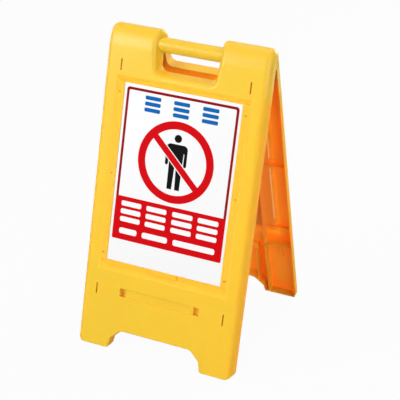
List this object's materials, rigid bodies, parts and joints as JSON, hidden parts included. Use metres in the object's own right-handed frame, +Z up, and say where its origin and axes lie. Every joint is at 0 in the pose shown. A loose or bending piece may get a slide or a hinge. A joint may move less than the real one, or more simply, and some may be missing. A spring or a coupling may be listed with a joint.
{
  "type": "a-frame floor sign",
  "caption": "Free-standing A-frame caution sign: hinged moulded leaves with recessed sign boards, a carrying bar over a hand hole, and feet with an arch between them.",
  "frame": {"origin": "on the floor, midway between the feet", "axes": "+Z up, +X to the right seen from the front, +Y from the front leaf to the rear leaf"},
  "size_m": [0.41, 0.439, 0.7453],
  "materials": {
    "yellow_plastic": "satin injection-moulded polypropylene",
    "white_board": "smooth white sheet with a printed face",
    "steel": "zinc-plated rod"
  },
  "bodies": {
    "front": {"front_leaf": "yellow_plastic", "carry_handle": "yellow_plastic", "hinge_rod": "steel", "left_rod_cap": "yellow_plastic", "right_rod_cap": "yellow_plastic", "front_sign_board": "white_board"},
    "rear": {"rear_leaf": "yellow_plastic", "rear_sign_board": "white_board"}
  },
  "joints": [
    {"name": "fold", "type": "hinge", "parent": "front", "child": "rear", "pos_m": [0, 0, 0.71092], "axis": [-1, 0, 0], "range_deg": [0, 30]}
  ]
}
